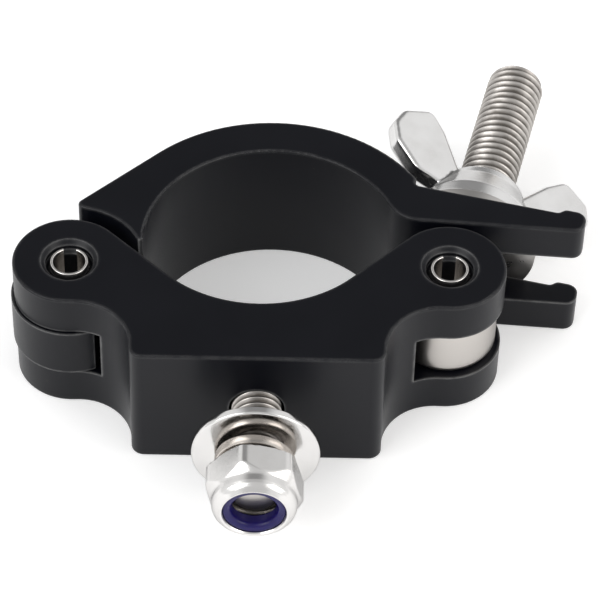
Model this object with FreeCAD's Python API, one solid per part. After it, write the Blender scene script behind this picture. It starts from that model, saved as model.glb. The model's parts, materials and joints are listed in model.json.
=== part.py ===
"""Half-coupler pipe clamp: a slotted saddle, a swinging jaw, an eye bolt with a wing nut, and an M10 stud.

Millimetres. The origin is the centre of the tube that the saddle holds, halfway through the clamp's width.
+Z runs along the tube, +Y points from the saddle towards the jaw, and +X from the hinge to the eye bolt.
"""
import FreeCAD, Part
import math
import os
from FreeCAD import Vector

X_AXIS, Y_AXIS, Z_AXIS = Vector(1, 0, 0), Vector(0, 1, 0), Vector(0, 0, 1)

# ---- Saddle and jaw, both cut from one extrusion ----
bore_radius = 25.5            # for tubes of 48 to 51 mm
clamp_width = 29.0            # along the tube
pin_spacing = 74.2            # hinge pin to eye-bolt pin
pin_drop = 15.0               # the pins' line lies this far below the tube's centre
ear_radius = 11.1
face_depth = 40.0             # tube's centre to the mounting face
block_width = 49.0
flank_radius = 11.0           # hollow curve between ear and block
block_corner_radius = 2.5
edge_round = 0.45             # broken edges all round both profiles

# ---- Clevis slots in the two ears ----
slot_height = 11.6
slot_radius = 13.7

# ---- Roll pins ----
pin_radius = 4.0
pin_wall = 0.75
pin_recess = 0.45             # pin's end below the ear's face
pin_bore_depth = 1.0          # straight counterbore under the countersink
pin_gap_width = 2.6
pin_taper_length = 1.2
pin_taper = 0.4
pin_sink_step = 0.7           # radial, from the pin to the counterbore round its end
pin_sink_width = 0.9          # radial, of the countersink at the ear's face
running_clearance = 0.06      # radial, in a moving piece that turns on a pin or bolt

# ---- Jaw, drawn closed on a tube ----
arch_radius = 34.0
jaw_corner_reach = 15.03      # from the hinge pin to the jaw's outer corner
jaw_corner_angle = 104.34     # about the hinge pin
cheek_gap = 3.2               # between the jaw's cheek and the ear
cheek_start_angle = 92.0      # about the hinge pin, at the jaw's outer corner
cheek_end_angle = 36.0        # about the hinge pin, at the tube
mouth_start_angle = 193.0     # about the tube, the inner arc's blunt end
tongue_height = 11.0
tongue_radius = 11.7
tongue_heel = 7.5             # flat on the tongue's inner side, from the pin
tongue_root = 3.0             # how far the tongue is drawn into the jaw's solid
tongue_root_angle = 85.0      # about the hinge pin
lug_face = 23.0               # the wing nut's seat, above the tube's centre
lug_shoulder = 23.2           # where the arch steps down to the seat
lug_root_height = 13.35       # underside at the lug's root
lug_root_reach = 25.0
lug_taper_angle = 9.7
lug_stored_gap = 1.0764       # from the ear, when the empty clamp is stored closed
lug_overhang = 23.34          # beyond the eye bolt
hook_distance = 17.64         # from the eye bolt to the hook's foot
hook_height = 1.2
hook_slope = 1.2
nose_radius = 7.0
tip_radius = 2.3              # at most, where the lug's tip is thick enough
tip_radius_share = 0.49       # the most of the tip's thickness that one corner may take
fork_side_clearance = 0.75    # each side of the bolt
fork_slot_backset = 0.36      # centre of the slot's round end, behind the bolt

# ---- Eye bolt, M12 ----
eye_radius = 10.0
eye_width = 10.4
eye_round = 1.8
bolt_radius = 5.9
bolt_neck_step = 0.5          # radial, of the plain shank between the eye and the thread
bolt_thread_start = 15.5      # from the pin, clear of the clevis slot
bolt_length = 70.4            # pin to tip
bolt_chamfer = 1.3

# ---- Wing nut and the washer under it ----
seat_washer_radius = 13.8
seat_washer_thickness = 2.5
seat_washer_clearance = 0.5   # radial, round the bolt
seat_washer_round = 0.4
spot_face_clearance = 0.4
hub_base_radius = 13.1
hub_band_radius = 12.7
hub_band_height = 3.4
hub_top_radius = 7.5
hub_top_round = 0.4
hub_height = 14.4
wing_thickness = 4.0
wing_root_height = 7.4        # above the nut's base
wing_outline = [              # (reach from the bolt, height above the base), upwards from inside
    (12.0, 21.8),
    (16.0, 25.9),
    (21.9, 22.3),
    (23.2, 17.9),
    (21.5, 13.7),
    (15.8, 8.8),
]
wing_angle = 24.0             # degrees about the bolt at which the nut has stopped
wing_corner_radius = 2.0
wing_edge_round = 1.1

# ---- Mounting stud, M10, with its washers and lock nut ----
stud_radius = 4.9
stud_hole_clearance = 0.5     # radial
stud_reach = 21.8             # beyond the mounting face
stud_chamfer = 1.0
hex_head_flats = 17.0
hex_head_height = 6.4
hex_head_depth = 1.0          # below the saddle's bore
hex_chamfer_start = 0.4       # outside the flats, at the end faces
hex_chamfer_slope = 0.58
head_pocket_clearance = 0.3
flat_washer_radius = 12.3
flat_washer_thickness = 1.6
flat_washer_clearance = 0.4   # radial
flat_washer_edge = 0.3
flat_washer_back = 10.0       # off the mounting face
spring_washer_radius = 7.8
spring_washer_clearance = 0.2 # radial
spring_washer_thickness = 2.1
spring_washer_free_height = 4.8
spring_washer_gap_angle = 14.0
nut_flats = 17.0
nut_height = 9.6
nut_hex_height = 6.2
nut_seat_chamfer = 0.9
nut_crest_chamfer = 1.6
nut_collar_radius = 8.1
nut_collar_round = 1.6        # height over which the collar curls in to its mouth
nut_lip_radius = 6.9
nut_lip_round = 0.6
nut_mouth_radius = 6.0
nut_angle = 15.0              # degrees about the stud at which the nut has stopped
insert_thickness = 3.4
insert_recess = 0.5
insert_bore_clearance = 0.06
insert_round = 0.4

# ---- Derived places ----
half_width = clamp_width / 2
pin_bore_radius = pin_radius + pin_sink_step
pin_sink_radius = pin_bore_radius + pin_sink_width
bolt_neck_radius = bolt_radius - bolt_neck_step
fork_slot_width = 2 * (bolt_radius + fork_side_clearance)
seat_washer_hole = bolt_radius + seat_washer_clearance
stud_hole_radius = stud_radius + stud_hole_clearance
flat_washer_hole = stud_radius + flat_washer_clearance
spring_washer_hole = stud_radius + spring_washer_clearance
half_spacing = pin_spacing / 2
hinge_pin = Vector(-half_spacing, -pin_drop, 0)
bolt_pin = Vector(half_spacing, -pin_drop, 0)
cheek_radius = ear_radius + cheek_gap
lug_slope = math.radians(lug_taper_angle)
lug_lift = (
    (lug_root_height + pin_drop) * math.cos(lug_slope)
    - (lug_root_reach + half_spacing) * math.sin(lug_slope)
)
lug_drop = math.asin((lug_lift - ear_radius - lug_stored_gap) / pin_spacing)
jaw_close_angle = lug_taper_angle + math.degrees(lug_drop)
seat_height = (
    lug_face + pin_drop - pin_spacing * math.sin(math.radians(jaw_close_angle))
)
seat_reach = pin_spacing * math.cos(math.radians(jaw_close_angle)) - half_spacing
fork_slot_root = seat_reach - fork_slot_backset
hook_start = seat_reach + hook_distance
lug_end = seat_reach + lug_overhang


def polar(centre, radius, degrees):
    """The point at an angle around a centre, in the XY plane."""
    angle = math.radians(degrees)
    return centre + Vector(radius * math.cos(angle), radius * math.sin(angle), 0)


def line(start, end):
    return Part.LineSegment(start, end).toShape()


def arc(centre, radius, start, end):
    """An arc between two angles in degrees; a smaller end angle runs clockwise."""
    middle = (start + end) / 2
    points = [polar(centre, radius, angle) for angle in (start, middle, end)]
    return Part.Arc(*points).toShape()


def prism(edges, height):
    """A closed outline in the XY plane, extruded evenly about the mid-plane."""
    face = Part.Face(Part.Wire(edges))
    face.translate(Vector(0, 0, -height / 2))
    return face.extrude(Vector(0, 0, height))


def polygon(points):
    return [line(a, b) for a, b in zip(points, points[1:] + points[:1])]


def disc(radius, height, centre):
    """An upright cylinder centred on the mid-plane."""
    return Part.makeCylinder(radius, height, centre - Vector(0, 0, height / 2), Z_AXIS)


def lathe(profile, origin=Vector(0, 0, 0)):
    """Points (radius, height) turned about an axis along +Y through the origin."""
    points = [origin + Vector(radius, height, 0) for radius, height in profile]
    return Part.Face(Part.Wire(polygon(points))).revolve(origin, Y_AXIS, 360)


def hexagon(flats, height):
    """A hexagonal prism along +Y from the origin, with two flats across X."""
    points = [polar(Vector(), flats / math.sqrt(3), 30 + 60 * i) for i in range(6)]
    solid = Part.Face(Part.Wire(polygon(points))).extrude(Vector(0, 0, height))
    solid.rotate(Vector(), X_AXIS, -90)
    return solid


def is_upright(edge):
    direction = edge.valueAt(edge.LastParameter) - edge.valueAt(edge.FirstParameter)
    return abs(abs(direction.z) - direction.Length) < 1e-6


def round_upright_edges(solid, corners):
    """Round the upright edge nearest each (point, radius)."""
    upright = [edge for edge in solid.Edges if is_upright(edge)]
    for place, radius in corners:
        flat = Vector(place.x, place.y, 0)
        edge = min(
            upright,
            key=lambda e: (Vector(e.CenterOfMass.x, e.CenterOfMass.y, 0) - flat).Length,
        )
        solid = solid.makeFillet(radius, [edge])
        upright = [edge for edge in solid.Edges if is_upright(edge)]
    return solid


def break_profile_edges(solid, height):
    """Round every edge of the two flat ends of an upright prism."""
    rims = [
        edge
        for edge in solid.Edges
        if abs(abs(edge.CenterOfMass.z) - height / 2) < 1e-6 and not is_upright(edge)
    ]
    return solid.makeFillet(edge_round, rims)


def pin_hole(centre):
    """The ears' hole for a roll pin, countersunk at both faces."""
    sink_depth = pin_sink_radius - pin_bore_radius
    step_depth = pin_bore_radius - pin_radius
    profile = [
        (0, 0),
        (pin_sink_radius + edge_round, 0),
        (pin_sink_radius + edge_round, edge_round),
        (pin_sink_radius, edge_round),
        (pin_bore_radius, edge_round + sink_depth),
        (pin_bore_radius, edge_round + sink_depth + pin_bore_depth),
        (pin_radius, edge_round + sink_depth + pin_bore_depth + step_depth),
        (0, edge_round + sink_depth + pin_bore_depth + step_depth),
    ]
    mouth = lathe(profile)
    mouth.rotate(Vector(), X_AXIS, -90)
    upper = mouth.copy()
    upper.translate(centre + Vector(0, 0, half_width + edge_round))
    lower = mouth.mirror(Vector(), Z_AXIS)
    lower.translate(centre - Vector(0, 0, half_width + edge_round))
    return disc(pin_radius, clamp_width, centre).fuse([upper, lower])


def make_base_body():
    tangent = math.degrees(
        math.acos((bore_radius + ear_radius) / Vector(half_spacing, pin_drop, 0).Length)
    )
    bore_angle = 180 + math.degrees(math.atan2(pin_drop, half_spacing)) + tangent
    flank_x = block_width / 2 + flank_radius
    reach = ear_radius + flank_radius
    flank_y = -pin_drop - math.sqrt(reach**2 - (flank_x - half_spacing) ** 2)
    flank = Vector(-flank_x, flank_y, 0)
    join = math.degrees(math.atan2(flank_y + pin_drop, half_spacing - flank_x))
    side = Vector(-block_width / 2, flank_y, 0)
    below = min(flank_y, -face_depth) - flank_radius
    left_half = prism(
        [
            arc(Vector(), bore_radius, 270, bore_angle),
            line(
                polar(Vector(), bore_radius, bore_angle),
                polar(hinge_pin, ear_radius, bore_angle - 180),
            ),
            arc(hinge_pin, ear_radius, bore_angle - 180, 360 + join),
            arc(flank, flank_radius, 180 + join, 0),
            line(side, Vector(side.x, below, 0)),
            line(Vector(side.x, below, 0), Vector(0, below, 0)),
            line(Vector(0, below, 0), Vector(0, -bore_radius, 0)),
        ],
        clamp_width,
    )
    body = left_half.fuse(left_half.mirror(Vector(), X_AXIS)).removeSplitter()
    far = Vector(-pin_spacing, -face_depth, -clamp_width)
    keep = Part.makeBox(2 * pin_spacing, face_depth + bore_radius, 2 * clamp_width, far)
    body = body.common(keep)
    corners = [
        edge.CenterOfMass
        for edge in body.Edges
        if is_upright(edge) and abs(edge.CenterOfMass.y + face_depth) < 1e-6
    ]
    body = round_upright_edges(body, [(place, block_corner_radius) for place in corners])
    body = break_profile_edges(body, clamp_width)

    head_floor = bore_radius + hex_head_depth + hex_head_height
    pocket_width = hex_head_flats + 2 * head_pocket_clearance
    pocket_length = 2 * (hex_head_flats / math.sqrt(3) + head_pocket_clearance)
    pocket = Part.makeBox(
        pocket_width,
        head_floor,
        pocket_length,
        Vector(-pocket_width / 2, -head_floor, -pocket_length / 2),
    )
    stud_hole = Part.makeCylinder(stud_hole_radius, face_depth, Vector(), -Y_AXIS)
    cuts = [pocket, stud_hole]
    for centre in (hinge_pin, bolt_pin):
        cuts += [disc(slot_radius, slot_height, centre), pin_hole(centre)]
    return body.cut(cuts)


def make_roll_pin(centre):
    """A slotted spring pin with tapered ends, its slot towards the jaw."""
    length = clamp_width - 2 * pin_recess
    outer = [
        (0, 0),
        (pin_radius - pin_taper, 0),
        (pin_radius, pin_taper_length),
        (pin_radius, length - pin_taper_length),
        (pin_radius - pin_taper, length),
        (0, length),
    ]
    inner_radius = pin_radius - pin_wall
    inner = [
        (0, 0),
        (inner_radius - pin_taper, 0),
        (inner_radius, pin_taper_length),
        (inner_radius, length - pin_taper_length),
        (inner_radius - pin_taper, length),
        (0, length),
    ]
    pin = lathe(outer).cut(lathe(inner))
    pin.rotate(Vector(), X_AXIS, 90)
    pin.translate(centre - Vector(0, 0, length / 2))
    gap = Part.makeBox(
        pin_gap_width,
        2 * pin_radius,
        clamp_width,
        centre - Vector(pin_gap_width / 2, 0, half_width),
    )
    return pin.cut(gap)


def jaw_outline():
    """The jaw's profile, closed on a tube, anticlockwise from the shoulder."""
    centre = Vector()
    shoulder_angle = math.degrees(math.acos(lug_shoulder / arch_radius))
    corner = polar(hinge_pin, jaw_corner_reach, jaw_corner_angle)
    tangent = math.degrees(math.acos(arch_radius / corner.Length))
    flank_angle = math.degrees(math.atan2(corner.y, corner.x)) % 360 - tangent
    flank_start = polar(centre, arch_radius, flank_angle)
    cheek_start = polar(hinge_pin, cheek_radius, cheek_start_angle)
    cheek_end = polar(hinge_pin, cheek_radius, cheek_end_angle)
    mouth_start = polar(centre, bore_radius, mouth_start_angle)

    slope = math.tan(lug_slope)
    rise = lug_root_height - slope * lug_root_reach
    root = -slope * rise + math.sqrt(bore_radius**2 * (1 + slope**2) - rise**2)
    nose_x = root / (1 + slope**2)
    nose = Vector(nose_x, rise + slope * nose_x, 0)
    nose_angle = math.degrees(math.atan2(nose.y, nose.x))
    tip_below = Vector(lug_end, rise + slope * lug_end, 0)
    tip_above = Vector(lug_end, lug_face + hook_height, 0)
    hook_top = Vector(hook_start + hook_slope, lug_face + hook_height, 0)
    hook_foot = Vector(hook_start, lug_face, 0)
    foot = Vector(lug_shoulder, lug_face, 0)
    shoulder = polar(centre, arch_radius, shoulder_angle)
    tip_round = min(tip_radius, tip_radius_share * (tip_above.y - tip_below.y))
    edges = [
        arc(centre, arch_radius, shoulder_angle, flank_angle),
        line(flank_start, corner),
        line(corner, cheek_start),
        arc(hinge_pin, cheek_radius, cheek_start_angle, cheek_end_angle),
        line(cheek_end, mouth_start),
        arc(centre, bore_radius, mouth_start_angle, nose_angle),
        line(nose, tip_below),
        line(tip_below, tip_above),
        line(tip_above, hook_top),
        line(hook_top, hook_foot),
        line(hook_foot, foot),
        line(foot, shoulder),
    ]
    rounds = [
        (nose, nose_radius),
        (tip_below, tip_round),
        (tip_above, tip_round),
        (hook_top, hook_slope),
        (hook_foot, hook_slope),
        (foot, hook_slope),
        (corner, hook_slope),
    ]
    return edges, rounds, corner


def make_swing_jaw():
    edges, rounds, corner = jaw_outline()
    jaw = round_upright_edges(prism(edges, clamp_width), rounds)
    jaw = break_profile_edges(jaw, clamp_width)

    heel_angle = math.degrees(math.acos(tongue_heel / tongue_radius))
    to_corner = corner - hinge_pin
    shoulder_side = math.degrees(math.atan2(to_corner.y, to_corner.x))
    tangent = math.degrees(math.acos(tongue_radius / to_corner.Length))
    tongue_start = shoulder_side + tangent
    heel_top = hinge_pin + Vector(tongue_heel, cheek_radius, 0)
    inside = polar(hinge_pin, cheek_radius + tongue_root, tongue_root_angle)
    tongue = prism(
        [
            line(corner, polar(hinge_pin, tongue_radius, tongue_start)),
            arc(hinge_pin, tongue_radius, tongue_start, 360 - heel_angle),
            line(polar(hinge_pin, tongue_radius, -heel_angle), heel_top),
            line(heel_top, inside),
            line(inside, corner),
        ],
        tongue_height,
    )
    jaw = jaw.fuse(tongue)

    root = Vector(fork_slot_root, 0, 0)
    fork_slot = Part.makeBox(
        lug_end,
        arch_radius,
        fork_slot_width,
        root - Vector(0, 0, fork_slot_width / 2),
    )
    slot_end = Part.makeCylinder(fork_slot_width / 2, arch_radius, root, Y_AXIS)
    spot_face = Part.makeCylinder(
        seat_washer_radius + spot_face_clearance,
        arch_radius,
        Vector(seat_reach, lug_face, 0),
        Y_AXIS,
    )
    hole = disc(pin_radius + running_clearance, clamp_width, hinge_pin)
    jaw = jaw.cut([fork_slot, slot_end, spot_face, hole])
    jaw.rotate(hinge_pin, Z_AXIS, -jaw_close_angle)
    return jaw


def onto_eye_bolt(solid):
    """Move a piece drawn along +Y from the origin onto the leaning eye bolt."""
    solid.translate(bolt_pin)
    solid.rotate(bolt_pin, Z_AXIS, -jaw_close_angle)
    return solid


def make_eye_bolt():
    eye = disc(eye_radius, eye_width, Vector())
    eye = eye.makeFillet(eye_round, [e for e in eye.Edges if len(e.Vertexes) == 1])
    shank = lathe(
        [
            (0, 0),
            (bolt_neck_radius, 0),
            (bolt_neck_radius, bolt_thread_start - bolt_radius + bolt_neck_radius),
            (bolt_radius, bolt_thread_start),
            (bolt_radius, bolt_length - bolt_chamfer),
            (bolt_radius - bolt_chamfer, bolt_length),
            (0, bolt_length),
        ]
    )
    hole = disc(pin_radius + running_clearance, clamp_width, Vector())
    return onto_eye_bolt(eye.fuse(shank).cut(hole))


def make_wing_nut_washer():
    washer = lathe(
        [
            (seat_washer_hole, 0),
            (seat_washer_radius, 0),
            (seat_washer_radius, seat_washer_thickness - seat_washer_round),
            (seat_washer_radius - seat_washer_round, seat_washer_thickness),
            (seat_washer_hole, seat_washer_thickness),
        ]
    )
    washer.translate(Vector(0, seat_height, 0))
    return onto_eye_bolt(washer)


def make_wing():
    """One wing, in the plane of the bolt, reaching out along -X."""
    root = [
        Vector(-hub_top_radius, wing_root_height, 0),
        Vector(-hub_top_radius, hub_height - wing_corner_radius, 0),
    ]
    outline = [Vector(-reach, height, 0) for reach, height in wing_outline]
    wing = prism(polygon(root + outline), wing_thickness)
    wing = round_upright_edges(wing, [(place, wing_corner_radius) for place in outline])
    rims = [
        edge
        for edge in wing.Edges
        if not is_upright(edge) and edge.BoundBox.XMax < -hub_top_radius - 1e-6
    ]
    return wing.makeFillet(wing_edge_round, rims)


def make_wing_nut():
    bore = bolt_radius + running_clearance
    hub = lathe(
        [
            (bore, 0),
            (hub_base_radius, 0),
            (hub_band_radius, hub_band_height),
            (hub_top_radius, hub_height - hub_top_round),
            (hub_top_radius - hub_top_round, hub_height),
            (bore, hub_height),
        ]
    )
    wing = make_wing()
    other = wing.copy()
    other.rotate(Vector(), Y_AXIS, 180)
    hole = Part.makeCylinder(bore, hub_height, Vector(), Y_AXIS)
    nut = hub.fuse([wing, other]).cut(hole)
    nut.rotate(Vector(), Y_AXIS, wing_angle)
    nut.translate(Vector(0, seat_height + seat_washer_thickness, 0))
    return onto_eye_bolt(nut)


def onto_stud(solid, distance):
    """Turn a piece drawn along +Y to point out of the mounting face, at a distance."""
    solid.rotate(Vector(), Z_AXIS, 180)
    solid.translate(Vector(0, -face_depth - distance, 0))
    return solid


def make_mounting_bolt():
    head = hexagon(hex_head_flats, hex_head_height)
    crown = hex_head_flats / 2 + hex_chamfer_start
    limit = lathe(
        [
            (0, 0),
            (crown, 0),
            (hex_head_flats, (hex_head_flats - crown) * hex_chamfer_slope),
            (hex_head_flats, hex_head_height),
            (0, hex_head_height),
        ]
    )
    shank_length = face_depth - bore_radius - hex_head_depth + stud_reach
    shank = lathe(
        [
            (0, 0),
            (stud_radius, 0),
            (stud_radius, shank_length - stud_chamfer),
            (stud_radius - stud_chamfer, shank_length),
            (0, shank_length),
        ]
    )
    bolt = head.common(limit).fuse(shank)
    return onto_stud(bolt, stud_reach - shank_length)


def make_mounting_washer():
    washer = lathe(
        [
            (flat_washer_hole, 0),
            (flat_washer_radius, 0),
            (flat_washer_radius, flat_washer_thickness - flat_washer_edge),
            (flat_washer_radius - flat_washer_edge, flat_washer_thickness),
            (flat_washer_hole, flat_washer_thickness),
        ]
    )
    return onto_stud(washer, flat_washer_back)


def make_spring_washer():
    """One helical turn with a split, at its free height between washer and nut."""
    turn = 360 - spring_washer_gap_angle
    rise = spring_washer_free_height - spring_washer_thickness
    middle = (spring_washer_radius + spring_washer_hole) / 2
    path = Part.makeLongHelix(rise * 360 / turn, rise, middle)
    section = Part.Wire(
        polygon(
            [
                Vector(spring_washer_hole, 0, 0),
                Vector(spring_washer_radius, 0, 0),
                Vector(spring_washer_radius, 0, spring_washer_thickness),
                Vector(spring_washer_hole, 0, spring_washer_thickness),
            ]
        )
    )
    sweep = Part.BRepOffsetAPI.MakePipeShell(Part.Wire(path.Edges))
    sweep.setFrenetMode(True)
    sweep.add(section)
    sweep.build()
    sweep.makeSolid()
    coil = sweep.shape()
    coil.rotate(Vector(), X_AXIS, -90)
    coil.rotate(Vector(), Y_AXIS, 90 - spring_washer_gap_angle / 2)
    return onto_stud(coil, flat_washer_back + flat_washer_thickness)


def nut_distance():
    return flat_washer_back + flat_washer_thickness + spring_washer_free_height


def make_lock_nut():
    corner = nut_flats / math.sqrt(3)
    bore = stud_radius + running_clearance
    hexagonal = hexagon(nut_flats, nut_hex_height)
    limit = lathe(
        [
            (0, 0),
            (nut_flats / 2, 0),
            (corner, nut_seat_chamfer),
            (corner, nut_hex_height - nut_crest_chamfer),
            (nut_collar_radius, nut_hex_height),
            (0, nut_hex_height),
        ]
    )
    collar = lathe(
        [
            (0, nut_hex_height / 2),
            (nut_collar_radius, nut_hex_height / 2),
            (nut_collar_radius, nut_height - nut_collar_round),
            ((nut_collar_radius + nut_lip_radius) / 2, nut_height - nut_lip_round),
            (nut_lip_radius, nut_height),
            (0, nut_height),
        ]
    )
    seat = insert_recess + insert_thickness
    cavity = lathe(
        [
            (0, 0),
            (bore, 0),
            (bore, nut_height - seat),
            (nut_mouth_radius, nut_height - seat),
            (nut_mouth_radius, nut_height),
            (0, nut_height),
        ]
    )
    nut = hexagonal.common(limit).fuse(collar).cut(cavity)
    nut.rotate(Vector(), Y_AXIS, nut_angle)
    return onto_stud(nut, nut_distance())


def make_nylon_insert():
    bore = stud_radius + insert_bore_clearance
    insert = lathe(
        [
            (bore, 0),
            (nut_mouth_radius, 0),
            (nut_mouth_radius, insert_thickness - insert_round),
            (nut_mouth_radius - insert_round, insert_thickness),
            (bore + insert_round, insert_thickness),
            (bore, insert_thickness - insert_round),
        ]
    )
    seat = insert_recess + insert_thickness
    return onto_stud(insert, nut_distance() + nut_height - seat)


pieces = {
    "base_body": make_base_body(),
    "swing_jaw": make_swing_jaw(),
    "hinge_roll_pin": make_roll_pin(hinge_pin),
    "eye_bolt_roll_pin": make_roll_pin(bolt_pin),
    "eye_bolt": make_eye_bolt(),
    "wing_nut_washer": make_wing_nut_washer(),
    "wing_nut": make_wing_nut(),
    "mounting_bolt": make_mounting_bolt(),
    "mounting_washer": make_mounting_washer(),
    "spring_washer": make_spring_washer(),
    "lock_nut": make_lock_nut(),
    "nylon_insert": make_nylon_insert(),
}
os.makedirs("parts", exist_ok=True)
for name, shape in pieces.items():
    shape.exportStep(f"parts/{name}.step")
    print(name, shape.ShapeType, len(shape.Solids), shape.isValid(), round(shape.Volume, 1))
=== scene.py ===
"""Looks of a half-coupler pipe clamp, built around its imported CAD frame.

Every new mesh is drawn in millimetres about its own +Z axis, turned into metres, and placed by the
axis and the extent of the CAD node that it stands for.
"""
import json
import math
import bmesh
import bpy
import numpy as np
from mathutils import Matrix, Vector


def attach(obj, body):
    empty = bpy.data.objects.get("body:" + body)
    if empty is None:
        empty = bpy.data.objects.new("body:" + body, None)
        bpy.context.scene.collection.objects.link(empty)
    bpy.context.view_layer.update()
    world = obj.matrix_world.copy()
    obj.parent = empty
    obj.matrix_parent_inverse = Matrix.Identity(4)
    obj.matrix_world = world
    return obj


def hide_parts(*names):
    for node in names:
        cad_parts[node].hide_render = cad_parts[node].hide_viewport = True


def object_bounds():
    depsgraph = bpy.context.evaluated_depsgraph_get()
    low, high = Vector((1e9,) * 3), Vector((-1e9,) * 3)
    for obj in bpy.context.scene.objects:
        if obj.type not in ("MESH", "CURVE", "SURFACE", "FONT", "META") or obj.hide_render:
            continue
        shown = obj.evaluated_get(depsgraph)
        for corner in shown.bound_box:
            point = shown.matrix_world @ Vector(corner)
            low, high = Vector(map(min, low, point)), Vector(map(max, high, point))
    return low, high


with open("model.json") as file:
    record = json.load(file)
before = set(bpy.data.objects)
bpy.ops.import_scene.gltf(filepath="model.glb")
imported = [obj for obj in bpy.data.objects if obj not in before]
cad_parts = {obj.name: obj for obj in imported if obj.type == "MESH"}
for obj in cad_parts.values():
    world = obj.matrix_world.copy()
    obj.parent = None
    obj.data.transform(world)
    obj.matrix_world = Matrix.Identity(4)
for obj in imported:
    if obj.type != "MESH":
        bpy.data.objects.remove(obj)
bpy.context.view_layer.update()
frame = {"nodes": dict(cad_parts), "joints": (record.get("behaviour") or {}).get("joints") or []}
nodes = frame["nodes"]
joints = {joint["name"]: joint for joint in frame["joints"]}
MM = 0.001

# ---- Segments around ----
LATHE_STEPS = 128             # a turned surface
THREAD_STEPS = 72             # a thread, and the neck that it joins
HEX_STEPS = 360               # the outside of a nut or a bolt head

# ---- Camera, as in the reference view ----
CAMERA_PLACE = (0.0031287, -0.4243953, 0.4451721)                      # metres
CAMERA_DOWN, CAMERA_HEADING, CAMERA_ROLL = 47.1285, 0.6901, 1.6107     # degrees
CAMERA_LENS, CAMERA_SENSOR = 183.1, 36.0                               # millimetres
CAMERA_NEAR, CAMERA_FAR = 0.01, 20.0                                   # metres


# ---------------------------------------------------------------- places in the frame

def axis_frame(origin, axis, towards):
    """A frame with +Z along the axis and +X as near as it can be to another direction."""
    z = Vector(axis).normalized()
    x = Vector(towards)
    x = (x - x.dot(z) * z).normalized()
    matrix = Matrix((x, z.cross(x), z)).transposed().to_4x4()
    matrix.translation = Vector(origin)
    return matrix


def extent(node, place):
    """A CAD node's lowest and highest height and its greatest radius about a frame's +Z, in mm."""
    inverse = place.inverted()
    points = [inverse @ vertex.co / MM for vertex in nodes[node].data.vertices]
    heights = [point.z for point in points]
    return min(heights), max(heights), max(math.hypot(point.x, point.y) for point in points)


swing = joints["eye_bolt_swing"]
turn = joints["wing_nut_turn"]
hinge = joints["jaw_hinge"]
stud = joints["mounting_nut_turn"]
bolt_place = axis_frame(swing["pos_m"], turn["axis"], (1, 0, 0))
hinge_place = axis_frame(hinge["pos_m"], hinge["axis"], (1, 0, 0))
bolt_pin_place = axis_frame(swing["pos_m"], swing["axis"], (1, 0, 0))
stud_place = axis_frame(stud["pos_m"], [-part for part in stud["axis"]], (-1, 0, 0))


# ---------------------------------------------------------------- mesh tools

def new_piece(name, vertices, faces, place):
    """A mesh in millimetres about its own axis, as an object in the frame."""
    weld, sliver = 0.002 * MM, 0.001 * MM
    mesh = bpy.data.meshes.new(name)
    mesh.from_pydata([tuple(MM * part for part in vertex) for vertex in vertices], [], faces)
    build = bmesh.new()
    build.from_mesh(mesh)
    bmesh.ops.remove_doubles(build, verts=build.verts, dist=weld)
    bmesh.ops.dissolve_degenerate(build, edges=build.edges, dist=sliver)
    bmesh.ops.recalc_face_normals(build, faces=build.faces)
    build.to_mesh(mesh)
    build.free()
    piece = bpy.data.objects.new(name, mesh)
    bpy.context.scene.collection.objects.link(piece)
    piece.matrix_world = place
    return piece


def close_ends(piece):
    """Fill the open ends of a tube of faces."""
    build = bmesh.new()
    build.from_mesh(piece.data)
    bmesh.ops.holes_fill(build, edges=[edge for edge in build.edges if edge.is_boundary])
    bmesh.ops.recalc_face_normals(build, faces=build.faces)
    build.to_mesh(piece.data)
    build.free()


def settle(piece, place):
    """Keep a piece where it is, but give it another frame of its own."""
    piece.data.transform(place.inverted() @ piece.matrix_world)
    piece.matrix_world = place


def smooth(piece, degrees):
    """Smooth shading, with a sharp edge wherever the surface turns by more than an angle."""
    piece.data.shade_smooth()
    piece.data.set_sharp_from_angle(angle=math.radians(degrees))


def apply_modifiers(piece):
    graph = bpy.context.evaluated_depsgraph_get()
    mesh = bpy.data.meshes.new_from_object(piece.evaluated_get(graph))
    piece.modifiers.clear()
    piece.data = mesh


def combine(piece, other, operation):
    """Exact union or difference of two closed meshes; the other piece is used up."""
    change = piece.modifiers.new("combine", "BOOLEAN")
    change.operation = operation
    change.solver = "EXACT"
    change.object = other
    bpy.context.view_layer.update()
    apply_modifiers(piece)
    bpy.data.objects.remove(other)


def about_axis(radius, angle, height):
    """The point at a radius, an angle and a height about +Z."""
    return radius * math.cos(angle), radius * math.sin(angle), height


def soft_least(a, b, blend):
    """The lesser of two numbers, with a rounded change from one to the other."""
    share = max(blend - abs(a - b), 0.0) / blend
    return min(a, b) - share * share * blend / 4


def skin(count, sections, ring):
    """Faces over a row of closed sections of count points each: a ring, or a row with capped ends."""
    faces = []
    for k in range(sections if ring else sections - 1):
        a, b = k * count, (k + 1) % sections * count
        for i in range(count):
            j = (i + 1) % count
            faces.append((a + i, b + i, b + j, a + j))
    if not ring:
        faces.append(tuple(range(count)))
        faces.append(tuple(range((sections - 1) * count, sections * count)))
    return faces


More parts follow.
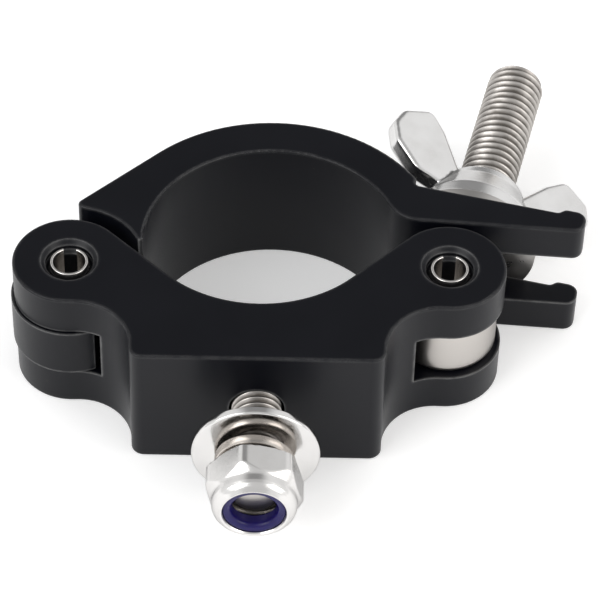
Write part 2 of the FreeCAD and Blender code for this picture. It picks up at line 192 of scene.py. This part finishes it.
def rounded(outline, radius, steps):
    """A closed outline of 2-D points with its corners rounded; radius is a number or one per corner."""
    straight = 0.02               # radians: a corner nearer than this to straight or shut is left alone
    most = 0.49                   # the greatest share of a side that a round takes
    count = len(outline)
    radii = radius if hasattr(radius, "__len__") else [radius] * count
    result = []
    for i, corner in enumerate(outline):
        here = Vector(corner)
        before = Vector(outline[i - 1]) - here
        after = Vector(outline[(i + 1) % count]) - here
        between = before.angle(after, 0.0)
        if radii[i] <= 0 or between < straight or between > math.pi - straight:
            result.append(here)
            continue
        back = min(radii[i] / math.tan(between / 2), most * before.length, most * after.length)
        bow = back * math.tan(between / 2)
        inward = (before.normalized() + after.normalized()).normalized()
        middle = here + inward * math.hypot(back, bow)
        first = here + before.normalized() * back - middle
        last = here + after.normalized() * back - middle
        sweep = first.angle_signed(last)
        for k in range(steps + 1):
            result.append(middle + Matrix.Rotation(-sweep * k / steps, 2) @ first)
    return [tuple(point) for point in result]


def lathe(name, profile, place, gap=None, around=LATHE_STEPS):
    """A closed (radius, height) outline turned about +Z. gap is a (start, end) in degrees left open."""
    if gap is None:
        angles = [math.tau * k / around for k in range(around)]
    else:
        first, last = math.radians(gap[1]), math.radians(gap[0]) + math.tau
        angles = [first + (last - first) * k / around for k in range(around + 1)]
    vertices = [about_axis(radius, angle, height) for angle in angles for radius, height in profile]
    return new_piece(name, vertices, skin(len(profile), len(angles), gap is None), place)


def plate(name, outline, thickness, edge, place, steps):
    """A flat outline in XZ with a thickness along Y and its rim rounded by an inset."""
    count = len(outline)
    centre = np.mean(np.array(outline), axis=0)
    layers = []
    for side in (-1, 1):
        for k in range(steps + 1):
            angle = math.pi / 2 * (k if side > 0 else steps - k) / steps
            inset = edge * (1 - math.cos(angle))
            depth = side * (thickness / 2 - edge + edge * math.sin(angle))
            layers.append((inset, depth))
    vertices = []
    for inset, depth in layers:
        for i in range(count):
            here = Vector(outline[i])
            along = (Vector(outline[(i + 1) % count]) - Vector(outline[i - 1])).normalized()
            inward = Vector((-along.y, along.x))
            if inward.dot(Vector(centre) - here) < 0:
                inward = -inward
            point = here + inward * inset
            vertices.append((point.x, depth, point.y))
    return new_piece(name, vertices, skin(count, len(layers), False), place)


def threaded(name, radius, pitch, start, end, chamfer, place):
    """A threaded rod along +Z from start to end, its rows running along the helix."""
    depth = 0.46 * pitch
    run_out = 1.5 * pitch         # the thread reaches its full depth over this length
    dome = 0.8                    # how far the rounded tip draws in, as a share of the chamfer
    # One groove: how far along it, as a share of the pitch, and how deep, as a share of the depth.
    groove = [
        (0.0, 0.0), (0.07, 0.03), (0.13, 0.16), (0.34, 0.88), (0.43, 1.0),
        (0.57, 1.0), (0.66, 0.88), (0.87, 0.16), (0.93, 0.03),
    ]
    per_turn = len(groove)
    first = math.floor(start / pitch) - 2
    turns = math.ceil((end - start) / pitch) + 4

    def widest(height):
        """The rod's radius at a height, less near its rounded tip."""
        share = min(1.0, max(0.0, 1 - (end - height) / chamfer))
        return radius - chamfer * (1 - math.sqrt(1 - share * share)) * dome

    def vertex(row, k):
        turn_number, step = divmod(row, per_turn)
        along, cut = groove[step]
        height = (first + turn_number + along + k / THREAD_STEPS) * pitch
        fade = min(1.0, max(0.0, (height - start) / run_out), max(0.0, (end - height) / pitch))
        reach = min(radius - depth * cut * fade, widest(min(height, end)))
        return about_axis(reach, math.tau * k / THREAD_STEPS, min(max(height, start), end))

    rows = turns * per_turn
    vertices = [vertex(row, k) for row in range(rows) for k in range(THREAD_STEPS)]
    faces = []
    for row in range(rows - 1 - per_turn):
        for k in range(THREAD_STEPS):
            j = (k + 1) % THREAD_STEPS
            low = row * THREAD_STEPS
            beside = low if j else low + per_turn * THREAD_STEPS
            faces.append((low + k, beside + j, beside + THREAD_STEPS + j, low + THREAD_STEPS + k))
    piece = new_piece(name, vertices, faces, place)
    close_ends(piece)
    return piece


def hex_nut_shape(name, flats, limit_profile, bore_profile, place, corner_round=0.35, phase=0.0):
    """A closed turned shape whose outside is the least of a hexagon and a limiting profile.

    limit_profile gives (height, radius) from one end to the other, and bore_profile (radius, height)
    back again along the inside. phase is the angle of a flat, in radians.
    """
    even_levels = 49
    blend = 0.12                  # how softly the hexagon gives way to the limit
    sixth = math.pi / 3
    heights = [height for height, _ in limit_profile]
    reach = [radius for _, radius in limit_profile]
    levels = sorted({*np.linspace(heights[0], heights[-1], even_levels), *heights})
    corner = flats / math.sqrt(3) - corner_round
    vertices = []
    for k in range(HEX_STEPS):
        angle = math.tau * k / HEX_STEPS
        from_flat = (angle - phase + sixth / 2) % sixth - sixth / 2
        hexagonal = soft_least(flats / 2 / math.cos(from_flat), corner, corner_round)
        for height in levels:
            limit = float(np.interp(height, heights, reach))
            vertices.append(about_axis(soft_least(hexagonal, limit, blend), angle, height))
        for radius, height in bore_profile:
            vertices.append(about_axis(radius, angle, height))
    faces = skin(len(levels) + len(bore_profile), HEX_STEPS, True)
    return new_piece(name, vertices, faces, place)


# ---------------------------------------------------------------- materials

class Nodes:
    """Short ways to add nodes to a node tree."""

    def __init__(self, tree):
        self.tree = tree

    def add(self, kind, inputs=None, **settings):
        node = self.tree.nodes.new(kind)
        for key, value in settings.items():
            setattr(node, key, value)
        for key, value in (inputs or {}).items():
            self.feed(node.inputs[key], value)
        return node

    def feed(self, socket, value):
        """Link a socket to another one, or give it a constant."""
        if isinstance(value, bpy.types.NodeSocket):
            self.tree.links.new(value, socket)
        else:
            socket.default_value = value

    def math(self, operation, a, b=0.0):
        return self.add("ShaderNodeMath", {0: a, 1: b}, operation=operation).outputs[0]

    def spread(self, value, low, high, to_low, to_high, kind="LINEAR"):
        """A value mapped from one range to another, and held at the second one's ends."""
        inputs = {
            "Value": value, "From Min": low, "From Max": high, "To Min": to_low, "To Max": to_high,
        }
        return self.add("ShaderNodeMapRange", inputs, interpolation_type=kind).outputs["Result"]


class Shader(Nodes):
    """A node material with a Principled shader; noises are taken in the piece's own metres."""

    def __init__(self, name):
        self.material = bpy.data.materials.new(name)
        self.material.use_nodes = True
        super().__init__(self.material.node_tree)
        self.base = self.tree.nodes["Principled BSDF"]
        self.place = self.add("ShaderNodeTexCoord").outputs["Object"]

    def set(self, **inputs):
        """Feed the Principled shader's inputs, named with underscores for spaces."""
        for key, value in inputs.items():
            self.feed(self.base.inputs[key.replace("_", " ")], value)

    def scaled(self, factors):
        return self.add("ShaderNodeMapping", {"Vector": self.place, "Scale": factors}).outputs[0]

    def noise(self, scale, detail, vector=None):
        inputs = {
            "Vector": vector or self.place, "Scale": scale, "Detail": detail, "Roughness": 0.55,
        }
        return self.add("ShaderNodeTexNoise", inputs).outputs["Fac"]

    def vary(self, noise, low, high):
        """A noise, which runs mostly from 0.3 to 0.7, mapped to another range."""
        return self.spread(noise, 0.3, 0.7, low, high)

    def mix(self, factor, a, b):
        """Two colours mixed. The sockets go by number: each name stands for several types of value."""
        node = self.add("ShaderNodeMix", {0: factor}, data_type="RGBA")
        self.feed(node.inputs[6], a)
        self.feed(node.inputs[7], b)
        return node.outputs[2]

    def bump(self, height, strength, distance, normal=None):
        inputs = {"Height": height, "Strength": strength, "Distance": distance}
        if normal is not None:
            inputs["Normal"] = normal
        return self.add("ShaderNodeBump", inputs).outputs["Normal"]

    def edges(self, radius, low, high):
        """1 on an edge and 0 on a flat, from how far a rounded normal leans from the true one."""
        soft = self.add("ShaderNodeBevel", {"Radius": radius}, samples=6).outputs["Normal"]
        hard = self.add("ShaderNodeNewGeometry").outputs["Normal"]
        same = self.add("ShaderNodeVectorMath", {0: soft, 1: hard}, operation="DOT_PRODUCT")
        return self.spread(same.outputs["Value"], high, low, 0.0, 1.0)

    def axis_place(self):
        """The radius from the piece's own axis and the height along it, in metres."""
        part = self.add("ShaderNodeSeparateXYZ", {0: self.place}).outputs
        squares = [self.math("MULTIPLY", part[i], part[i]) for i in (0, 1)]
        return self.math("SQRT", self.math("ADD", *squares)), part[2]


def grey(value, warm=0.0, blue=0.0):
    """A grey with a share moved from blue to red, and with some blue added."""
    return (value * (1 + warm), value, value * (1 - warm) + blue, 1)


METAL_TINT = grey(0.6)        # a metal's colour at a glancing angle


def black_coat():
    """Satin black coat on extruded aluminium: fine grain, faint draw lines, and edges lightened in
    patches, partly as rubbed wear and partly as a painted highlight.
    """
    deep, faded = grey(0.0009, -0.3, 0.0015), grey(0.0015, -0.3, 0.0021)
    # The light edge colour stands partly for bare metal at worn edges and partly for a painted
    # highlight on the rounded rims.
    speck, bare_and_highlight = grey(0.012), grey(0.12)
    s = Shader("black_coat")
    cloud = s.noise(60, 2)
    grain = s.noise(3800, 2)
    draw = s.noise(1, 2, s.scaled((900, 900, 12)))
    edge_patches = s.spread(s.noise(420, 5), 0.25, 0.6, 0.25, 1)
    # Edge mask, broken into patches: where the coat goes lighter is part rubbed wear and part painted
    # highlight.
    worn_and_highlit_edges = s.math("MULTIPLY", s.edges(0.9 * MM, 0.88, 0.99), edge_patches)
    specks = s.spread(s.noise(900, 2), 0.735, 0.76, 0, 0.5)
    coat = s.mix(specks, s.mix(cloud, deep, faded), speck)
    s.set(Base_Color=s.mix(worn_and_highlit_edges, coat, bare_and_highlight), Specular_IOR_Level=0.24)
    rough = s.math("ADD", s.vary(cloud, 0.34, 0.41), s.vary(grain, -0.02, 0.03))
    s.set(Roughness=s.math("SUBTRACT", rough, s.math("MULTIPLY", worn_and_highlit_edges, 0.14)))
    s.set(Normal=s.bump(grain, 0.10, 0.012 * MM, s.bump(draw, 0.05, 0.02 * MM)))
    return s.material


def steel(name, tone, rough, lines, stain=0.25, warm=0.03):
    """Bright steel with handling marks; lines is the strength of the turned marks around the axis."""
    clean, stained = grey(tone, warm), grey(tone * 0.72, warm * 2.2)
    line_scale = 9000.0
    s = Shader(name)
    cloud = s.noise(180, 4)
    marks = s.noise(1, 3, s.scaled((260, 2600, 900)))
    colour = s.mix(s.spread(cloud, 0.35, 0.7, 0, stain), clean, stained)
    s.set(Base_Color=colour, Metallic=1.0, Specular_Tint=METAL_TINT)
    scratched = s.spread(marks, 0.55, 0.75, 0, 0.06)
    s.set(Roughness=s.math("ADD", s.vary(cloud, rough * 0.75, rough * 1.35), scratched))
    radius, height = s.axis_place()
    around, along = (s.math("MULTIPLY", part, line_scale) for part in (radius, height))
    rings = s.add("ShaderNodeCombineXYZ", {0: around, 1: along, 2: 0.0}).outputs[0]
    dents = s.bump(s.noise(700, 4), 0.12, 0.02 * MM)
    s.set(Normal=s.bump(s.noise(1, 2, rings), lines, 0.01 * MM, dents))
    return s.material


def thread_steel(name, root_radius, crest_radius, start):
    """Rolled thread: bright crests and a rougher root darkened with painted shade, past a plain part up
    to start, in mm.
    """
    # The dark root colour is painted shade in the thread's grooves; the crest colour is the steel's own
    # tone.
    root_shade, crest = grey(0.10, 0.10), grey(0.50, 0.05)
    s = Shader(name)
    radius, height = s.axis_place()
    cloud = s.noise(220, 4)
    high = s.spread(radius, root_radius * MM, crest_radius * MM, 0, 1)
    thread = s.spread(s.math("ADD", high, s.vary(cloud, -0.3, 0.2)), 0.1, 0.9, 0, 1)
    end_face = s.spread(radius, (root_radius - 0.4) * MM, (root_radius - 0.2) * MM, 1, 0)
    plain = s.spread(height, (start - 0.4) * MM, start * MM, 1, 0)
    bright = s.math("MAXIMUM", thread, s.math("MAXIMUM", end_face, plain))
    s.set(Base_Color=s.mix(bright, root_shade, crest), Metallic=1.0, Specular_Tint=METAL_TINT)
    s.set(Roughness=s.spread(bright, 0, 1, 0.5, 0.30))
    s.set(Normal=s.bump(s.noise(1500, 4), 0.25, 0.02 * MM))
    return s.material


def cast_metal():
    """Tumbled, polished casting: soft pits and slight waviness under a bright surface."""
    bright, dull, worn = grey(0.74, 0.008), grey(0.58, 0.02), grey(0.78)
    s = Shader("cast_plated")
    wave = s.noise(150, 2)
    pits = s.spread(s.noise(1300, 3), 0.62, 0.74, 0, 1)
    rims = s.edges(0.8 * MM, 0.84, 0.985)
    colour = s.mix(s.spread(wave, 0.35, 0.7, 0, 0.4), bright, dull)
    s.set(Base_Color=s.mix(rims, colour, worn), Metallic=1.0, Specular_Tint=METAL_TINT)
    s.set(Roughness=s.math("ADD", s.vary(wave, 0.17, 0.25), s.math("MULTIPLY", pits, 0.06)))
    s.set(Normal=s.bump(pits, 0.06, -0.01 * MM, s.bump(wave, 0.25, 0.05 * MM)))
    return s.material


def nylon():
    """Dark blue nylon, slightly translucent."""
    dark, light = (0.007, 0.0045, 0.060, 1), (0.011, 0.007, 0.090, 1)
    s = Shader("blue_nylon")
    cloud = s.noise(500, 3)
    s.set(Base_Color=s.mix(cloud, dark, light), Specular_IOR_Level=0.25)
    s.set(Roughness=s.vary(cloud, 0.26, 0.38))
    s.set(Subsurface_Weight=0.15, Subsurface_Scale=0.4 * MM)
    s.set(Normal=s.bump(cloud, 0.2, 0.03 * MM))
    return s.material


def dress(piece, material, sharp_degrees):
    piece.data.materials.clear()
    piece.data.materials.append(material)
    smooth(piece, sharp_degrees)


def finish_piece(piece, body, node, material, sharp_degrees):
    """Give a new piece its material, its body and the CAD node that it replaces."""
    dress(piece, material, sharp_degrees)
    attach(piece, body)
    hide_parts(node)


# ---------------------------------------------------------------- the clamp's pieces

def dress_body():
    """The saddle and the jaw keep their CAD shape."""
    coat = black_coat()
    for name in ("base_body", "swing_jaw"):
        piece = nodes[name]
        dress(piece, coat, 32)
        weighted = piece.modifiers.new("weighted", "WEIGHTED_NORMAL")
        weighted.keep_sharp = True
        weighted.weight = 80


def roll_pin(node, place):
    """A spring pin: a slotted tube with tapered ends."""
    low, high, radius = extent(node, place)
    wall, taper, taper_length, edge = 0.55, 0.35, 1.2, 0.16
    gap_width, gap_middle = 2.8, 90
    end_radius, bore = radius - taper, radius - wall
    profile = [
        (end_radius, low), (radius, low + taper_length), (radius, high - taper_length),
        (end_radius, high), (end_radius - wall, high), (bore, high - taper_length),
        (bore, low + taper_length), (end_radius - wall, low),
    ]
    half_gap = math.degrees(math.asin(gap_width / 2 / (radius - wall / 2)))
    gap = (gap_middle - half_gap, gap_middle + half_gap)
    piece = lathe("visual_" + node, rounded(profile, edge, 4), place, gap)
    material = steel("pin_" + node, tone=0.80, rough=0.2, lines=0.2)
    finish_piece(piece, "clamp_base", node, material, 30)


def eye_bolt():
    """A drum-shaped eye, a plain neck and an M12 thread."""
    _, tip, _ = extent("eye_bolt", bolt_place)
    eye_low, eye_high, _ = extent("eye_bolt", bolt_pin_place)
    eye_radius, hole, eye_round, hole_edge = 10.0, 4.06, 1.9, 0.3
    bolt_radius, thread_depth, pitch, thread_start, tip_chamfer = 5.9, 0.8, 1.75, 15.5, 2.2
    neck_radius, neck_start, neck_step, step_length, overlap = 5.4, 6.5, 0.6, 0.5, 2
    drum = [(hole, eye_low), (eye_radius, eye_low), (eye_radius, eye_high), (hole, eye_high)]
    rounds = [hole_edge, eye_round, eye_round, hole_edge]
    piece = lathe("visual_eye_bolt", rounded(drum, rounds, 8), bolt_pin_place)
    settle(piece, bolt_place)
    neck = [
        (0, neck_start), (neck_radius, neck_start), (neck_radius, thread_start - step_length),
        (neck_radius - neck_step, thread_start), (neck_radius - neck_step, thread_start + overlap),
        (0, thread_start + overlap),
    ]
    combine(piece, lathe("neck", neck, bolt_place, around=THREAD_STEPS), "UNION")
    rod = threaded("rod", bolt_radius, pitch, thread_start, tip, tip_chamfer, bolt_place)
    combine(piece, rod, "UNION")
    material = thread_steel("bolt_thread", bolt_radius - thread_depth, bolt_radius, thread_start)
    finish_piece(piece, "swing_bolt", "eye_bolt", material, 38)


def washer(node, place, body, hole, edge_low, edge_high, material):
    """A flat washer; the two edges are the rounds of its rim."""
    low, high, radius = extent(node, place)
    profile = [(hole, low), (radius, low), (radius, high), (hole, high)]
    rounds = [0.15, edge_low, edge_high, 0.25]
    piece = lathe("visual_" + node, rounded(profile, rounds, 4), place)
    finish_piece(piece, body, node, material, 30)


def wing_nut():
    """A cast nut: a waisted hub and two wings, melted together, with a clean bore."""
    low, high, _ = extent("wing_nut", bolt_place)
    bore, base, band, band_height = 5.98, 13.1, 12.7, 3.4
    shoulder, shoulder_height, top, top_height = 9.4, 9.8, 8.5, 12.4
    wing_angle, wing_thickness, wing_edge = 24, 4.2, 1.0
    voxel, softness, soft_passes, spare = 0.24 * MM, 0.5, 7, 1
    profile = [
        (bore, low), (base, low), (band, low + band_height), (shoulder, low + shoulder_height),
        (top, low + top_height), (bore, low + top_height),
    ]
    hub_rounds = [0.5, 0.5, 0.5, 1.5, 0.7, 0.5]
    hub = lathe("visual_wing_nut", rounded(profile, hub_rounds, 4), bolt_place)
    wing_corners = [                            # reach from the axis, and height above the washer
        (5.9, 7.4), (5.9, 12.6), (12.0, 21.8), (16.0, 25.9),
        (21.9, 22.3), (23.2, 17.9), (21.5, 13.7), (15.8, 8.8),
    ]
    wing_rounds = [0, 0, 3.0, 2.0, 2.0, 2.2, 2.4, 3.5]
    outline = rounded([(-reach, low + height) for reach, height in wing_corners], wing_rounds, 6)
    first = math.radians(wing_angle)
    for turned in (first, first + math.pi):
        place = bolt_place @ Matrix.Rotation(turned, 4, "Z")
        wing = plate("wing", outline, wing_thickness, wing_edge, place, 4)
        settle(wing, bolt_place)
        combine(hub, wing, "UNION")
    cast = hub.modifiers.new("cast", "REMESH")
    cast.mode = "VOXEL"
    cast.voxel_size = voxel
    soft = hub.modifiers.new("soft", "SMOOTH")
    soft.factor, soft.iterations = softness, soft_passes
    bpy.context.view_layer.update()
    apply_modifiers(hub)
    cutter = [(0, low - spare), (bore, low - spare), (bore, high), (0, high)]
    combine(hub, lathe("hole", cutter, bolt_place), "DIFFERENCE")
    finish_piece(hub, "closing_nut", "wing_nut", cast_metal(), 40)


def mounting_bolt():
    """A plain hexagonal head, sunk in the saddle, and an M10 thread."""
    low, high, _ = extent("mounting_bolt", stud_place)
    flats, head_height, corner, face, under = 17.0, 6.4, 9.9, 8.6, 9.8
    chamfer_height, edge = 0.75, 0.1
    bolt_radius, root_radius, pitch, tip_chamfer, overlap = 4.9, 4.25, 1.5, 1.2, 0.5
    head_top = low + head_height
    limit = [
        (low, face), (low + chamfer_height, corner), (head_top - edge, corner), (head_top, under),
    ]
    inside = [(0, head_top), (0, low)]
    head = hex_nut_shape("visual_mounting_bolt", flats, limit, inside, stud_place)
    rod = threaded("rod", bolt_radius, pitch, head_top - overlap, high, tip_chamfer, stud_place)
    combine(head, rod, "UNION")
    material = thread_steel("stud_thread", root_radius, bolt_radius, head_top)
    finish_piece(head, "clamp_base", "mounting_bolt", material, 38)


def spring_washer():
    """A split washer: one section swept round and up, from one face of the split to the other."""
    low, high, radius = extent("spring_washer", stud_place)
    hole, thickness, split_degrees, split_middle, edge, steps = 5.1, 2.1, 14.0, 90, 0.3, 120
    section = rounded([(hole, 0), (radius, 0), (radius, thickness), (hole, thickness)], edge, 3)
    rise = high - low - thickness
    first = math.radians(split_middle - split_degrees / 2)
    sweep = -math.radians(360 - split_degrees)
    vertices = []
    for k in range(steps + 1):
        share = k / steps
        for reach, height in section:
            vertices.append(about_axis(reach, first + sweep * share, low + height + rise * share))
    faces = skin(len(section), steps + 1, False)
    piece = new_piece("visual_spring_washer", vertices, faces, stud_place)
    material = steel("spring_steel", tone=0.52, rough=0.24, lines=0.15, stain=0.3, warm=0.07)
    finish_piece(piece, "stud_washers", "spring_washer", material, 30)


def lock_nut():
    """An M10 lock nut: a chamfered hexagon under a collar that curls in over the nylon ring."""
    low, high, _ = extent("lock_nut", stud_place)
    flats, hex_height, collar, mouth, bore = 17.0, 6.2, 8.1, 6.0, 4.96
    face, corner_round, ring_depth, flat_degrees = 8.7, 0.3, 3.9, 15
    corner, hex_top = flats / math.sqrt(3), low + hex_height
    limit = [
        (low, face), (low + 0.5, corner), (hex_top - 2.3, corner), (hex_top, collar + 0.1),
        (hex_top + 0.35, collar), (high - 1.9, collar), (high - 1.2, collar - 0.25),
        (high - 0.6, collar - 0.75), (high - 0.2, collar - 1.3), (high, mouth + 0.55),
    ]
    inside = [
        (mouth + 0.15, high - 0.12), (mouth, high - 0.4), (mouth, high - ring_depth),
        (bore, high - ring_depth), (bore, low),
    ]
    phase = math.radians(flat_degrees)
    piece = hex_nut_shape("visual_lock_nut", flats, limit, inside, stud_place, corner_round, phase)
    material = steel("nut_steel", tone=0.70, rough=0.2, lines=0.12, stain=0.15, warm=0.015)
    finish_piece(piece, "stud_nut", "lock_nut", material, 28)


def nylon_insert():
    """The lock nut's ring, narrower than the thread, with a well-rounded mouth."""
    low, high, radius = extent("nylon_insert", stud_place)
    bore, lead_in, dish = 4.35, 0.6, 0.3
    profile = [(bore, low + lead_in), (radius, low), (radius, high), (bore, high - dish)]
    rounds = [0.3, 0.1, 0.35, 1.1]
    piece = lathe("visual_nylon_insert", rounded(profile, rounds, 8), stud_place)
    finish_piece(piece, "stud_nut", "nylon_insert", nylon(), 40)


# ---------------------------------------------------------------- studio

def lay_floor():
    """A white floor just under the clamp, with a faint glow that lifts its shadows."""
    size, gap, glow = 6, 0.02 * MM, 0.25
    low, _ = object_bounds()
    bpy.ops.mesh.primitive_plane_add(size=size, location=(0, 0, low.z - gap))
    floor = bpy.context.object
    floor.name = "floor"
    s = Shader("floor")
    s.set(Base_Color=grey(0.93), Roughness=0.9, Specular_IOR_Level=0.1)
    s.set(Emission_Color=grey(1), Emission_Strength=glow)
    floor.data.materials.append(s.material)


def make_sky():
    """A white surround, bright on the camera's side and at both sides, and dim beyond the clamp."""
    near, far, aside = 0.72, 0.33, 1.0          # brightness towards -Y, +Y and +-X
    world = bpy.data.worlds.new("studio")
    bpy.context.scene.world = world
    world.use_nodes = True
    sky = Nodes(world.node_tree)
    direction = sky.add("ShaderNodeTexCoord").outputs["Generated"]
    part = sky.add("ShaderNodeSeparateXYZ", {0: direction}).outputs
    front = sky.spread(part[1], -0.35, 0.60, near, far, "SMOOTHSTEP")
    side = sky.spread(sky.math("ABSOLUTE", part[0]), 0.0, 0.55, 0.0, aside, "SMOOTHSTEP")
    background = sky.tree.nodes["Background"]
    sky.feed(background.inputs["Color"], grey(1))
    sky.feed(background.inputs["Strength"], sky.math("MAXIMUM", front, side))


def softbox(name, place, size, power, colour=(1, 1, 1)):
    """A square area light aimed at the origin."""
    data = bpy.data.lights.new(name, "AREA")
    data.shape = "RECTANGLE"
    data.size = data.size_y = size
    data.energy = power
    data.color = colour
    lamp = bpy.data.objects.new(name, data)
    bpy.context.scene.collection.objects.link(lamp)
    lamp.location = place
    lamp.rotation_euler = (-Vector(place)).to_track_quat("-Z", "Y").to_euler()


def camera():
    """The reference view, from three angles: down from level, away from +Y, and about the view."""
    down, heading, roll = map(math.radians, (CAMERA_DOWN, CAMERA_HEADING, CAMERA_ROLL))
    forward = Vector((
        math.sin(heading) * math.cos(down), math.cos(heading) * math.cos(down), -math.sin(down)
    ))
    right = Vector((math.cos(heading), -math.sin(heading), 0))
    up = right.cross(forward)
    side = math.cos(roll) * right + math.sin(roll) * up
    top = math.cos(roll) * up - math.sin(roll) * right
    data = bpy.data.cameras.new("camera")
    data.lens, data.sensor_width = CAMERA_LENS, CAMERA_SENSOR
    data.clip_start, data.clip_end = CAMERA_NEAR, CAMERA_FAR
    viewer = bpy.data.objects.new("camera", data)
    bpy.context.scene.collection.objects.link(viewer)
    turned = Matrix((side, top, -forward)).transposed().to_4x4()
    viewer.matrix_world = Matrix.Translation(CAMERA_PLACE) @ turned
    bpy.context.scene.camera = viewer


dress_body()
roll_pin("hinge_roll_pin", hinge_place)
roll_pin("eye_bolt_roll_pin", bolt_pin_place)
eye_bolt()
washer(
    "wing_nut_washer", bolt_place, "nut_seat", hole=6.4, edge_low=0.3, edge_high=0.5,
    material=steel("seat_washer_steel", tone=0.5, rough=0.3, lines=0.3),
)
wing_nut()
mounting_bolt()
washer(
    "mounting_washer", stud_place, "stud_washers", hole=5.3, edge_low=0.15, edge_high=0.4,
    material=steel("flat_washer_steel", tone=0.68, rough=0.12, lines=0.1, stain=0.12, warm=0.012),
)
spring_washer()
lock_nut()
nylon_insert()

lay_floor()
make_sky()
softbox("key", (-0.75, -0.55, 0.75), size=0.8, power=6)
softbox("fill", (0.85, -0.45, 0.55), size=0.7, power=4, colour=(1.0, 0.97, 0.94))
camera()
bpy.context.scene.view_settings.view_transform = "Standard"
